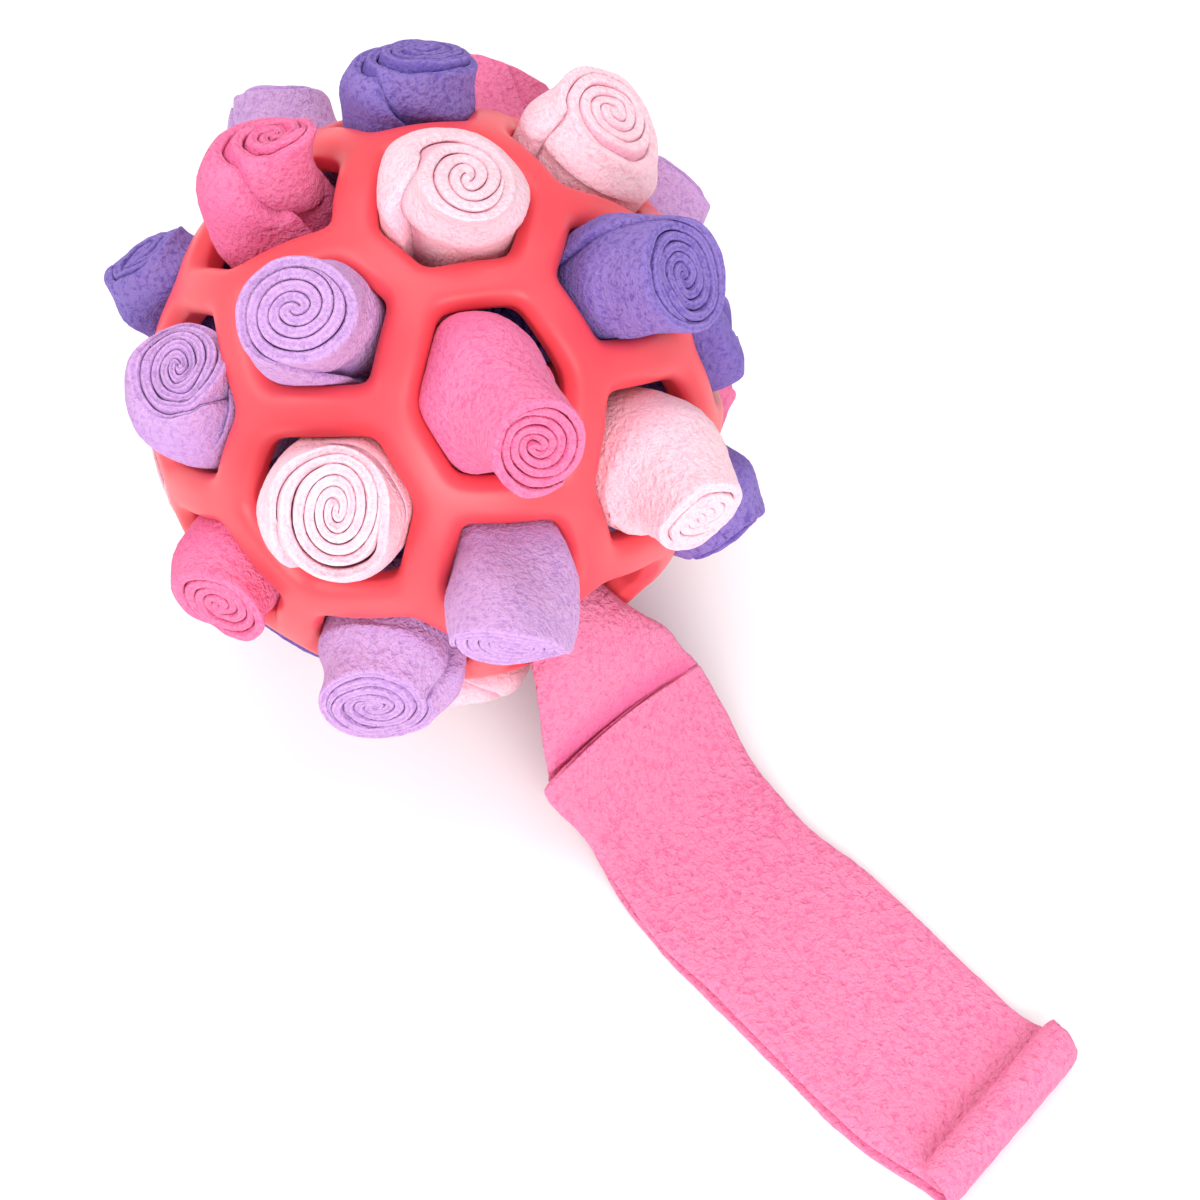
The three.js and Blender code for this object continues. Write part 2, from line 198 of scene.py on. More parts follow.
def brushed_fleece(name, nap, painted_valley_shade, painted_fold_shade, pebble=1.5, relief=0.85, clear=0.2):
    """nap is the colour of the brushed tips; the next two are painted shade: between the curls, and deeper
    inside the folds.
    pebble is the size of a curl of fibres in millimetres, relief how much the curls stand out, and
    clear how much light goes through the cloth."""
    fleece = new_material(name)
    where = add(fleece, "ShaderNodeTexCoord")
    at = {"Vector": (where, "Object")}
    curls = add(fleece, "ShaderNodeTexNoise", at, Scale=1000 / pebble, Detail=1.5, Distortion=0.5)
    fibres = add(fleece, "ShaderNodeTexNoise", at, Scale=1000 / FIBRE, Detail=1.0)
    patches = add(fleece, "ShaderNodeTexNoise", at, Scale=1000 / SHADE_PATCH, Detail=1.0)
    height = weighted(fleece, fibres, "Fac", FIBRE_WEIGHT, curls, "Fac")
    shade = weighted(fleece, patches, "Fac", PATCH_WEIGHT, height)
    spread = add(fleece, "ShaderNodeMapRange", {"Value": (shade, "Value")}, interpolation_type="SMOOTHSTEP")
    spread.inputs["From Min"].default_value = VALLEY_SHADE
    spread.inputs["From Max"].default_value = NAP_SHADE
    # painted shade in the valleys between the curls: the ramp runs from the valley colour to the nap colour
    ramp = add(fleece, "ShaderNodeValToRGB", {"Fac": (spread, "Result")})
    low, high = ramp.color_ramp.elements
    low.position, low.color = 0.0, linear(painted_valley_shade)
    high.position, high.color = 1.0, linear(nap)
    # painted shade: the fold attribute mixes in the colour of the painted shade inside folds and grooves
    fold = add(fleece, "ShaderNodeAttribute", attribute_name="fold", attribute_type="GEOMETRY")
    colour = add(
        fleece, "ShaderNodeMix", {"Factor": (fold, "Fac"), MIX_A: (ramp, "Color")}, data_type="RGBA"
    )
    colour.inputs[MIX_B].default_value = linear(painted_fold_shade)
    bump = add(
        fleece, "ShaderNodeBump", {"Height": (height, "Value")}, Strength=relief, Distance=pebble * MM
    )
    shader = add(
        fleece,
        "ShaderNodeBsdfPrincipled",
        {"Base Color": (colour, MIX_RESULT), "Normal": (bump, "Normal")},
        Roughness=0.95,
        IOR=1.45,
        Subsurface_Weight=clear,
        Subsurface_Radius=LIGHT_DEPTH,
        Subsurface_Scale=1.0,
        Sheen_Weight=0.35,
        Sheen_Roughness=0.6,
        Sheen_Tint=linear(nap),
    )
    shader.inputs["Specular IOR Level"].default_value = 0.15
    add(fleece, "ShaderNodeOutputMaterial", {"Surface": (shader, "BSDF")})
    return fleece


# each: the nap colour, the colour of the painted shade between the curls, and of the painted shade in the
# folds
FLEECE = {
    "hot": ("fleece_hot_pink", brushed_fleece("hot pink brushed fleece", "#e97da4", "#e26896", "#e65f94")),
    "pale": (
        "fleece_pale_pink",
        brushed_fleece("pale pink brushed fleece", "#f3cbd5", "#efbac7", "#eb98b1", relief=0.7, clear=0.5),
    ),
    "lilac": ("fleece_lilac", brushed_fleece("lilac brushed fleece", "#c8a0cf", "#b388c2", "#b083c6")),
    "purple": ("fleece_purple", brushed_fleece("purple brushed fleece", "#8b75b9", "#6a54a2", "#5a489a")),
    "strip": (
        "fleece_strip_pink",
        brushed_fleece("bright pink brushed fleece", "#e985a8", "#e4709a", "#e65f94", pebble=1.8),
    ),
}
print("fleece shades:", list(FLEECE))

# %% [markdown]
# ## Where the holes are
# A ball with 12 five-sided and 20 six-sided holes is a football's pattern: the five-sided holes
# sit at the corners of an icosahedron, and a six-sided one sits between each three of them. The
# directions are worked out once, in the same order as in the part, so a row of the table of
# rolls below always means the same hole.

# %% Directions of the holes
BALL_RADIUS = 75.0
WALL = 9.0
BALL_CENTRE = np.array([0.0, 0.0, 89.0])
LATTICE_TURN = (118.8, 59.8, 147.6)
GOLDEN = (1 + math.sqrt(5)) / 2


def unit(v):
    v = np.asarray(v, float)
    return v / np.linalg.norm(v, axis=-1, keepdims=True)


def across(axis):
    """The two directions across an axis as seen from outside the ball: right and up."""
    up = unit(np.array([0, 0, 1.0]) - axis * axis[2])
    return np.cross(up, axis), up


lattice_turn = np.eye(3)
for angle, name in zip(LATTICE_TURN, "XYZ"):
    lattice_turn = lattice_turn @ np.array(Matrix.Rotation(math.radians(angle), 3, name))
fives = [
    lattice_turn @ unit(v)
    for a in (-1, 1)
    for b in (-GOLDEN, GOLDEN)
    for v in ((0, a, b), (a, b, 0), (b, 0, a))
]
near = [[i != j and fives[i] @ fives[j] > 0.4 for j in range(12)] for i in range(12)]
sixes = [
    unit(fives[i] + fives[j] + fives[k])
    for i in range(12)
    for j in range(i + 1, 12)
    for k in range(j + 1, 12)
    if near[i][j] and near[j][k] and near[i][k]
]
HOLES = fives + sixes
print("five-sided:", len(fives), "six-sided:", len(sixes))

# %% [markdown]
# ## The rubber lattice
# The real ball is one moulding. Blender's ico sphere has the 12 corners, and a vertex bevel cuts
# each of them into a five-sided face, which leaves the football's 32 faces. Seven corners are
# then pushed aside, as the tight rolls do. Each face is inset in steps that follow the strut's
# rounded section, the middle is deleted to open the hole, and the same is done on a smaller copy
# for the inner side. Bridging the two rims of every hole closes the wall, and a subdivision
# surface rounds it all.

# %% Selecting by place
def work_on(obj, mode="EDIT"):
    bpy.ops.object.select_all(action="DESELECT")
    obj.select_set(True)
    bpy.context.view_layer.objects.active = obj
    if mode != "OBJECT":
        bpy.ops.object.mode_set(mode=mode)


def leave_edit():
    bpy.ops.object.mode_set(mode="OBJECT")


def select_only(obj, kind, test):
    """In edit mode, selects the vertices, edges or faces for which the test is true."""
    bpy.ops.mesh.select_mode(type=kind)
    bpy.ops.mesh.select_all(action="DESELECT")
    shape = bmesh.from_edit_mesh(obj.data)
    parts = {"VERT": shape.verts, "EDGE": shape.edges, "FACE": shape.faces}[kind]
    count = 0
    for part in parts:
        if test(part):
            part.select_set(True)
            count += 1
    shape.select_flush_mode()
    bmesh.update_edit_mesh(obj.data)
    return count


def apply_modifier(obj, kind, **settings):
    work_on(obj, "OBJECT")
    modifier = obj.modifiers.new(kind.title(), kind)
    for name, value in settings.items():
        setattr(modifier, name, value)
    bpy.ops.object.modifier_apply(modifier=modifier.name)


# %% Football faces on a sphere
ICO_TURN = (27.612, 6.03, -10.629)  # turns Blender's ico sphere onto the part's lattice
CORNER_PLACE = 34.4  # per cent of an ico sphere's edge
PUSHED_CORNERS = [  # the three holes round a corner, and its shift to the right and up
    ((7, 13, 16), 5, 6),
    ((7, 18, 22), 4, 1),
    ((3, 18, 19), 1, -4),
    ((1, 18, 19), -2, 4),
    ((1, 12, 13), -2, 4),
    ((7, 16, 29), -3, -2),
    ((3, 22, 24), 3, 0),
]
bpy.ops.object.select_all(action="DESELECT")
bpy.ops.mesh.primitive_ico_sphere_add(
    subdivisions=1,
    radius=BALL_RADIUS * MM,
    location=BALL_CENTRE * MM,
    rotation=[math.radians(a) for a in ICO_TURN],
)
shell = bpy.context.object
shell.name = "rubber_ball"
bpy.ops.object.transform_apply(location=False, rotation=True, scale=True)
work_on(shell)
bpy.ops.mesh.select_all(action="SELECT")
bpy.ops.mesh.bevel(offset_type="PERCENT", offset_pct=CORNER_PLACE, segments=1, affect="VERTICES")
leave_edit()
apply_modifier(shell, "CAST", cast_type="SPHERE", factor=1, use_radius_as_size=False, size=BALL_RADIUS * MM)
print("faces:", len(shell.data.polygons), "corners:", len(shell.data.vertices))

# %% Push the corners aside
work_on(shell)
for around, to_right, to_up in PUSHED_CORNERS:
    towards = unit(sum(HOLES[i] for i in around))
    corner = max(bmesh.from_edit_mesh(shell.data).verts, key=lambda v: v.co.dot(Vector(towards)))
    place = corner.co.copy()
    select_only(shell, "VERT", lambda v: (v.co - place).length < MM)
    right, up = across(unit(place))
    bpy.ops.transform.translate(value=(right * to_right + up * to_up) * MM)
bpy.ops.mesh.select_mode(type="EDGE")
bpy.ops.mesh.select_all(action="SELECT")
bpy.ops.mesh.subdivide(number_cuts=2)
leave_edit()
apply_modifier(shell, "CAST", cast_type="SPHERE", factor=1, use_radius_as_size=False, size=BALL_RADIUS * MM)
print("faces:", len(shell.data.polygons), "vertices:", len(shell.data.vertices))

# %% Inset the struts' section
# Each row is how far in and how far up along the hole's axis the next loop lies, in millimetres
OUTER_STEPS = [(3.9, 1.4), (3.2, -2.5), (0.1, -1.0), (0.2, -3.4)]
INNER_STEPS = [(4.4, -1.45)]
INNER_SHARE = (BALL_RADIUS - WALL) / BALL_RADIUS


def inset(steps):
    for inwards, upwards in steps:
        bpy.ops.mesh.inset(
            thickness=inwards * MM, depth=upwards * MM, use_individual=True, use_even_offset=True
        )


work_on(shell)
bpy.ops.mesh.select_mode(type="FACE")
bpy.ops.mesh.select_all(action="SELECT")
bpy.ops.mesh.duplicate()
bpy.ops.transform.resize(value=(INNER_SHARE,) * 3, center_override=BALL_CENTRE * MM)
bpy.ops.mesh.flip_normals()
inset(INNER_STEPS)
limit = (BALL_RADIUS - WALL / 2) * MM
select_only(shell, "FACE", lambda f: max(v.co.length for v in f.verts) > limit)
inset(OUTER_STEPS)

# %% Bridge the outer and the inner face of each hole, which opens it
SAME_HOLE = 0.93  # cosine between a hole's axis and the middle of its two faces
for hole in HOLES:
    axis = Vector(hole)
    both = select_only(
        shell,
        "FACE",
        lambda f: len(f.verts) > 4 and f.calc_center_median().normalized().dot(axis) > SAME_HOLE,
    )
    assert both == 2, "a hole needs its outer and its inner face"
    bpy.ops.mesh.bridge_edge_loops()
bpy.ops.mesh.select_all(action="SELECT")
bpy.ops.mesh.normals_make_consistent(inside=False)
leave_edit()
apply_modifier(shell, "SUBSURF", levels=2, render_levels=2)
bpy.ops.object.transform_apply(location=True, rotation=True, scale=True)
bpy.ops.object.shade_smooth()
shell.data.materials.append(moulded_rubber())
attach(shell, "root")
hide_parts("ball_shell")
print("rubber ball faces:", len(shell.data.polygons))

# %% [markdown]
# ## A wound roll
# Each roll is one strip of fleece, wound up from one end and pushed halfway into its hole. A
# spiral extruded along the hole would look like a machined spring: real turns are rounded at
# their brushed edge, wander a little, stand higher or lower than their neighbours, and take the
# shape of the hole where it squeezes them. So the strip's section is drawn once as a row of
# points, and that row is carried along the spiral through a map that knows how wide and how far
# tilted the roll is at each height. The outermost turn ends in a free edge, the flap.

# %% Rows of rolls
# colour, radius at the tip, how far it stands out of the ball, how far it leans to the right and
# up as seen from outside, and where its flap is in degrees; then what is special about it. faces
# is which way the wound end faces in the photograph: to the right, up, and towards the camera.
# dome is how far its middle stands out, rim how much lower its edge is, groove how deep the lines
# between its turns are, layer the distance between these, loose how much wider the outer turns
# are, and oval how far and in which direction all are pressed. bulge and foot are how far the wall
# swells halfway up and over the edge of the hole, twist turns it against the neck, tilt is the
# most that it tilts, neck its radius in the hole, and seat how far that is off the middle.
ROLLS = {
    0: (
        "purple", 16.2, 12, -5, 2, 30,
        dict(faces=(0, 0.9, 0.42), dome=3, rim=2.5, bulge=2, twist=-60),
    ),
    1: (
        "purple", 15.5, 21, -9, -4, 20,
        dict(faces=(0.7, 0.17, 0.67), dome=-2.5, layer=2.4, rim=2, tilt=30),
    ),
    2: ("lilac", 14.5, 17, 1, 6, 20, dict()),
    3: (
        "lilac", 16.5, 23, -6, -1.5, 180,
        dict(faces=(-0.08, -0.97, 0.2), dome=-0.5, layer=2.5, rim=0, bulge=1.5),
    ),
    4: ("hot", 16, 22, 0, 0, 90, dict()),
    5: ("purple", 14.5, 10, -4, 7, 250, dict()),
    6: ("pale", 15.5, 16, 3, 2, 130, dict(dome=1.0)),
    7: (
        "lilac", 15.8, 18, 6, 2, 280,
        dict(faces=(-0.25, 0.12, 0.95), dome=0.8, layer=2.8, rim=2.5),
    ),
    8: ("purple", 14.5, 11, -5, -5, 200, dict(rim=3)),
    9: ("pale", 14, 8, 0, 0, 40, dict()),
    10: ("lilac", 15.5, 14, 2, 1, 280, dict()),
    11: (
        "hot", 12.8, 9, 9.5, 5.5, 230,
        dict(neck=15.5, faces=(-0.55, -0.55, 0.6), dome=-1, layer=2.4, rim=0.5, foot=0),
    ),
    12: (
        "pale", 16, 12, -2.5, 5, 70,
        dict(faces=(0.57, 0.4, 0.72), dome=1.2, layer=2.9, tilt=30, twist=0),
    ),
    13: (
        "pale", 15.2, 12, -8, 6.5, 15,
        dict(faces=(0.12, 0.75, 0.65), dome=2, layer=3.2, bulge=2.2, tilt=5),
    ),
    14: ("hot", 15, 20, -4, 5, 100, dict()),
    15: ("lilac", 15.5, 17, -9, 3, 340, dict(rim=2.5)),
    16: (
        "hot", 11.4, 11, -8.6, 14.5, 310,
        dict(
            neck=16.6, faces=(-0.27, 0.82, 0.5), layer=2.4, rim=2.2, bulge=2.2, twist=-125, foot=0,
        ),
    ),
    17: ("purple", 13.5, 1.5, 13, 3, 240, dict(tilt=20, twist=-30, rim=2.4)),
    18: (
        "hot", 13.2, 25, 0, -15, 290,
        dict(
            neck=20, seat=(-5.5, 1.9), faces=(0.4, -0.4, 0.82), layer=2.2, rim=0.3, bulge=-0.5,
            foot=2.5,
        ),
    ),
    19: (
        "pale", 13.4, 19, -11, -1, 290,
        dict(faces=(0.5, -0.75, 0.42), layer=2.6, rim=2, groove=0.45),
    ),
    20: ("purple", 16, 17, 0, 3, 80, dict()),
    21: ("hot", 14, 9, 3, 11, 10, dict()),
    22: (
        "pale", 15.8, 16, 8.8, 14.5, 190,
        dict(
            neck=18.5, seat=(2.2, 2.2), faces=(0, -0.3, 0.95), dome=0.8, layer=2.4, rim=3.6,
            oval=(0.2, 100), foot=0, groove=0.4,
        ),
    ),
    24: (
        "lilac", 14.8, 14, -2, 5, 15,
        dict(faces=(0, -0.75, 0.66), layer=2.4, rim=1, bulge=0.4, twist=0),
    ),
    25: ("pale", 16.5, 25, -2, 0, 210, dict()),
    26: ("lilac", 15.5, 4, -3, 1, 120, dict()),
    27: ("purple", 17, 20, -2, 5, 170, dict()),
    28: ("hot", 16, 15, 1, 3, 310, dict(dome=1.0)),
    29: (
        "lilac", 14.6, 5, 1.4, 14.8, 0,
        dict(
            neck=15.8, seat=(4.2, 1.2), faces=(-0.2, 0.45, 0.85), dome=-0.4, layer=2.4, rim=1,
            oval=(0.25, 144), bulge=0, foot=0,
        ),
    ),
    30: ("pale", 15, 0, 0, 0, 350, dict()),
    31: ("purple", 15, 1, 0, 0, 260, dict()),
}
print("rolls in the table:", len(ROLLS))

# %% Sizes that all the rolls share
LAYER = 2.7  # from one layer of cloth to the next
STATION_LENGTH, MOST_TURN = 2.3, math.radians(20)  # from one section of the cloth to the next
FIRST_TURN = 0.53  # of a turn, so that the last turn just reaches the radius at the tip
OUTER_LONGER = 0.9 * math.pi  # the outer layer goes on for this angle past the inner one's end
WEDGE, WEDGE_THINNER = 0.5 * math.pi, 0.88  # where and how far the inner layer's end thins out
FLAP, FLAP_THINNER, FLAP_INWARDS = 0.9, 0.6, 0.3  # its angle, and shares of a layer
OVAL, OVAL_TURN = 0.12, 37  # a share, and degrees from one roll's direction to the next
TWIST = -70
MOST_SLANT = 13.0
UNEVEN, UNEVEN_SPAN = 0.03, 8  # of the radius, and millimetres
TOP_WANDER, TOP_WANDER_SHARE = 0.8, 2.2  # millimetres, over the whole end
TURN_WANDER, TURN_WANDER_ANGLE = 0.7, 1.7  # millimetres, along each turn
INNER_END, NECK_START, NECK_END = 50.0, 61.0, 71.5
FIVE, SIX = (12.6, 16.0), (14.6, 18.5)  # radius at the inner end, and in the neck
RIM_INSET = 6.45  # a strut's half width and the gap to the cloth
THROAT_RADIUS = 71.6
PRESSED_IN = 0.5  # how far the rubber gives way
CORNER_POWER = 14.0  # a higher one makes the pressed roll's corners sharper
LEAN_POWER, MOST_TILT = 1.3, 60
BULGE = 0.8
PAINTED_BASE_SHADE, PAINTED_BASE_SHADE_END, PAINTED_BASE_SHADE_SPAN = 0.4, 81.0, 7  # painted shade, deeper in colour towards the hole
PAINTED_GROOVE_SHADE, PAINTED_GROOVE_FROM, PAINTED_GROOVE_SPAN = 0.8, 0.1, 0.9  # and painted shade in the grooves, in millimetres
SPREAD_END, SPREAD_SPAN, SPREAD_ANGLE = 73, 9, 1.2  # the outer turn fills the hole below this
OUTER_THICKER = 1.1  # the outer turns are looser than the inner ones
DOME, RIM = -0.6, 1.8
FOOT, FOOT_AT, FOOT_SPAN = 1.5, 76.0, 3.5  # how far the cloth swells over the hole's edge
TOP_ROUND = 0.8
NAP_SHOWS = 1.5  # millimetres below the wound end
LEAST_HEIGHT = 0.05  # over the floor
CREASE = {"lilac": 0.6, "purple": 0.5, "hot": 0.35, "pale": 0.25}  # in the middle of a cut edge
print("layers", LAYER, "mm apart, necks", FIVE[1], "and", SIX[1], "mm in radius")

# %% The outline that a hole leaves to its roll
CORNER_SHARE = 0.344  # of the way from one corner of the icosahedron to the next
corners = [
    unit((1 - CORNER_SHARE) * fives[i] + CORNER_SHARE * fives[j])
    for i in range(12)
    for j in range(12)
    if near[i][j]
]
for around, to_right, to_up in PUSHED_CORNERS:
    towards = unit(sum(HOLES[i] for i in around))
    k = max(range(len(corners)), key=lambda n: corners[n] @ towards)
    right, up = across(corners[k])
    corners[k] = unit(corners[k] + (right * to_right + up * to_up) / BALL_RADIUS)


def hole_reach(index, angles, seat):
    """How far a roll may reach from its middle, at each angle, in the throat of its hole."""
    axis = HOLES[index]
    right, up = across(axis)
    sides = 5 if index < 12 else 6
    nearest = sorted(corners, key=lambda c: -(c @ axis))[:sides]
    flat = np.array([[c @ right, c @ up] for c in nearest]) * THROAT_RADIUS
    flat = flat[np.argsort(np.arctan2(flat[:, 1], flat[:, 0]))]
    powers = 0
    for a, b in zip(flat, np.roll(flat, -1, axis=0)):
        normal = unit(np.array([b[1] - a[1], a[0] - b[0]]))
        facing = np.maximum(np.cos(angles - math.atan2(normal[1], normal[0])), 1e-3)
        powers = powers + ((normal @ (a - seat) + PRESSED_IN - RIM_INSET) / facing) ** -CORNER_POWER
    return powers ** (-1 / CORNER_POWER)


# %% The map from a flat roll to its hole
def smooth(t):
    t = np.clip(t, 0, 1)
    return t * t * (3 - 2 * t)


def wander(points, seed):
    """A smooth number between -1 and 1 for each point, the same in every run."""
    flat = points.reshape(-1, points.shape[-1])
    shift = Vector((seed * 3.7, seed * 1.3, seed * 2.1))
    values = [noise.noise(Vector(tuple(p) + (0.0,) * (3 - len(p))) + shift) for p in flat]
    return np.array(values).reshape(points.shape[:-1])


def place_in_hole(index, row, share, angle, height):
    """share of the roll's radius, angle round it and height from the ball's centre, to a point."""
    colour, tip, out, to_right, to_up, flap, special = row
    axis = HOLES[index]
    right, up = across(axis)
    seat = np.array(special.get("seat", (0, 0)), float)
    tip_at = BALL_RADIUS + out
    inner, neck = FIVE if index < 12 else SIX
    neck = special.get("neck", neck)
    squeezed = np.minimum(neck, hole_reach(index, angle, seat))
    widening = np.clip((height - INNER_END) / (NECK_START - INNER_END), 0, 1)
    below = np.minimum(squeezed, inner + (neck - inner) * widening)
    above = smooth((height - NECK_END) / (tip_at - NECK_END))
    swell = special.get("bulge", BULGE) * 4 * above * (1 - above)
    swell = swell + special.get("foot", FOOT) * np.exp(-(((height - FOOT_AT) / FOOT_SPAN) ** 2))
    radius = (np.where(height < NECK_END, below, squeezed + (tip - squeezed) * above) + swell) * share
    lean = right * to_right + up * to_up
    t = np.maximum(0, (height - NECK_END) / (tip_at - NECK_END))
    slope = LEAN_POWER * t ** (LEAN_POWER - 1) / (tip_at - NECK_END)
    amount = np.linalg.norm(lean)
    tilt = np.minimum(np.arctan(slope * amount), math.radians(special.get("tilt", MOST_TILT)))
    side = lean / amount if amount > 0 else right
    spoke = right * np.cos(angle)[..., None] + up * np.sin(angle)[..., None]
    towards = (spoke @ side)[..., None]
    bent = spoke + towards * (side * (np.cos(tilt)[..., None] - 1) - axis * np.sin(tilt)[..., None])
    middle = axis * height[..., None] + lean * (t**LEAN_POWER)[..., None]
    middle = middle + (right * seat[0] + up * seat[1]) * (1 - above)[..., None]
    return BALL_CENTRE + middle + bent * radius[..., None]


# %% How much an end is slanted
def end_slant(index, row):
    """How far the end's right and upper side stand out, so that it faces as in the photograph."""
    colour, tip, out, to_right, to_up, flap, special = row
    if "faces" not in special:
        return 0.0, 0.0
    axis = HOLES[index]
    right, up = across(axis)
    lean = right * to_right + up * to_up
    slope = LEAN_POWER / (BALL_RADIUS + out - NECK_END)
    amount = np.linalg.norm(lean)
    tilt = min(math.atan(slope * amount), math.radians(special.get("tilt", MOST_TILT)))
    side = lean / amount
    ways = (CAMERA_RIGHT, CAMERA_UP, CAMERA_BACK)
    facing = sum(x * np.array(way) for x, way in zip(special["faces"], ways))
    along = facing @ (axis + lean * slope)
    slants = []
    for spoke in (right, up):
        bent = spoke + spoke @ side * (side * (math.cos(tilt) - 1) - axis * math.sin(tilt))
        slants.append(-tip * (facing @ bent) / along)
    share = min(1, MOST_SLANT / np.linalg.norm(slants))
    print(index, "end slant", [round(float(v * share), 1) for v in slants], "mm")
    return slants[0] * share, slants[1] * share


# %% The middle line of a doubled strip, wound up from its fold
def arm(stop, layer):
    """Angles and points of one arm: half circles that each grow by half a layer, from the middle."""
    angles = [0.0]
    while angles[-1] < stop:
        radius = layer * (0.5 + angles[-1] // math.pi)
        angles.append(angles[-1] + min(STATION_LENGTH / radius, MOST_TURN))
    angles = np.array(angles) * stop / angles[-1]
    turn = np.minimum(angles // math.pi, (stop - 1e-9) // math.pi)
    radius = layer * (0.5 + turn)
    middle = layer / 2 * np.where(turn % 2 == 0, -1, 1)
    return angles, np.stack([middle + radius * np.cos(angles), radius * np.sin(angles)], -1)


def doubled_spiral(tip, flap, layer):
    """The line from the flap to the fold in the middle and out again to the inner layer's end."""
    end = math.pi * (tip / layer + FIRST_TURN)
    inner_end = end - math.pi - OUTER_LONGER
    outer_angles, outer = arm(end, layer)
    inner_angles, inner = arm(inner_end, layer)
    wedge = WEDGE_THINNER * smooth((inner_angles - inner_end) / WEDGE + 1)
    inner = -inner * (1 - wedge * layer / 2 / np.maximum(np.linalg.norm(inner, axis=1), 1))[:, None]
    drop = layer * smooth((outer_angles - math.pi - inner_end) / WEDGE + 1)
    outer = outer * (1 - drop / np.maximum(np.linalg.norm(outer, axis=1), 1))[:, None]
    line = np.concatenate([outer[::-1], inner[1:]])
    thin = np.concatenate([np.zeros(len(outer)), wedge[1:]])
    from_end = np.concatenate([end - outer_angles[::-1], end + inner_angles[1:]])
    turn = math.radians(flap) - end
    x, y = line[:, 0], line[:, 1]
    cos, sin = math.cos(turn), math.sin(turn)
    line = np.stack([x * cos - y * sin, x * sin + y * cos], -1)
    return line, thin, from_end


# %% Carry the strip's section along the spiral
SECTION = [  # across the cloth from its outer face, how high: a share from neck to rim, then mm
    (0.0, "at", INNER_END),
    (0.0, "at", 60.0),
    (0.0, "at", 67.5),
    (0.0, "share", 0.0),
    (0.0, "share", 0.2),
    (0.0, "share", 0.4),
    (0.0, "share", 0.6),
    (0.0, "share", 0.8),
    (0.0, "share", 1.0),
    (0.06, "below", 0.5),
    (0.26, "below", 0.06),
    (0.5, "crease", 0.0),
    (0.74, "below", 0.06),
    (0.94, "below", 0.5),
    (1.0, "share", 1.0),
    (1.0, "share", 0.6),
    (1.0, "at", 66.0),
    (1.0, "at", INNER_END),
]
OUTER_FACE = [k for k, (q, kind, _) in enumerate(SECTION) if q == 0]
MIDDLE = [kind for _, kind, _ in SECTION].index("crease")


def wind_roll(index, row):
    """A roll's loops of points, its painted fold shade and nap at each point, and the strip's flat size."""
    colour, tip, out, to_right, to_up, flap, special = row
    tip_at = BALL_RADIUS + out
    layer = special.get("layer", LAYER)
    line, thin, from_end = doubled_spiral(tip, flap, layer)
    tangent = unit(np.gradient(line, axis=0))
    normal = np.stack([-tangent[:, 1], tangent[:, 0]], -1)
    loose_end = smooth(1 - from_end / FLAP)
    across_cloth = np.array([0.5 - q for q, _, _ in SECTION])
    thickness = layer * (1 - FLAP_THINNER * loose_end) * (1 - thin)
    flat = line - normal * (FLAP_INWARDS * layer * loose_end)[:, None]
    flat = flat[:, None] + normal[:, None] * (across_cloth * thickness[:, None])[..., None]
    # The turns are pressed oval towards the middle, and wander a little together
    amount, direction = special.get("oval", (OVAL, OVAL_TURN * index))
    direction = math.radians(direction)
    share = np.linalg.norm(flat, axis=-1) / tip
    axis = np.array([math.cos(direction), math.sin(direction)])
    along = (flat @ axis)[..., None] * axis
    stretch = (amount * np.clip(1 - share, 0, 1))[..., None]
    flat = along * (1 + stretch) + (flat - along) * (1 - stretch)
    share = (np.linalg.norm(flat, axis=-1) / tip) ** special.get("loose", OUTER_THICKER)
    share = share * (1 + UNEVEN * wander(flat / UNEVEN_SPAN, index))
    angle = np.arctan2(flat[..., 1], flat[..., 0])
    # How high the brushed edge stands
    ring = share.mean(axis=1)
    place = line / tip
    slant_right, slant_up = end_slant(index, row)
    turned = np.arctan2(line[:, 1], line[:, 0])
    top = tip_at + special.get("dome", DOME) * (1 - ring**2)
    top = top - special.get("rim", RIM) * smooth((ring - 0.6) / 0.4)
    top = top + (slant_right * np.cos(turned) + slant_up * np.sin(turned)) * ring
    top = top + TOP_WANDER * wander(place * TOP_WANDER_SHARE, index + 40)
    along_turn = np.stack([from_end / TURN_WANDER_ANGLE, from_end * 0], -1)
    top = top + TURN_WANDER * wander(along_turn, index + 7)
    groove = special.get("groove", TOP_ROUND)
    heights = {
        "at": lambda x: np.full(len(top), x),
        "share": lambda x: NECK_END + (top - groove - NECK_END) * x,
        "below": lambda x: top - x * groove,
        "crease": lambda x: top - CREASE[colour],
    }
    height = np.stack([heights[kind](x) for _, kind, x in SECTION], -1)
    outside = np.flatnonzero(from_end < 2 * math.pi)
    worn = np.ix_(outside, OUTER_FACE)
    spread = smooth((2 * math.pi - from_end[outside, None]) / SPREAD_ANGLE)
    spread = spread * (1 - smooth((height[worn] - SPREAD_END) / SPREAD_SPAN))
    share[worn] += (1 - share[worn]) * spread
    rise = np.clip((height - NECK_END) / (tip_at - NECK_END), 0, 1)
    angle = angle + math.radians(special.get("twist", TWIST)) * (rise - 1)
    points = place_in_hole(index, row, share, angle, height)
    points[..., 2] = np.maximum(points[..., 2], LEAST_HEIGHT)
    length = np.linalg.norm(np.diff(points[:, MIDDLE], axis=0), axis=1).sum()
    # painted shade in the grooves: deeper in colour below the top of the wound end
    fold = smooth((top[:, None] - PAINTED_GROOVE_FROM - height) / PAINTED_GROOVE_SPAN) * PAINTED_GROOVE_SHADE
    # painted shade towards the hole, on the outer face of the outer turn
    fold[worn] = PAINTED_BASE_SHADE * smooth((PAINTED_BASE_SHADE_END - height[worn]) / PAINTED_BASE_SHADE_SPAN)
    nap = np.clip(1 - (top[:, None] - height) / NAP_SHOWS, 0, 1)
    nap[worn] = 1
    return points, fold, nap, (float(np.mean(top)) - INNER_END, float(length))


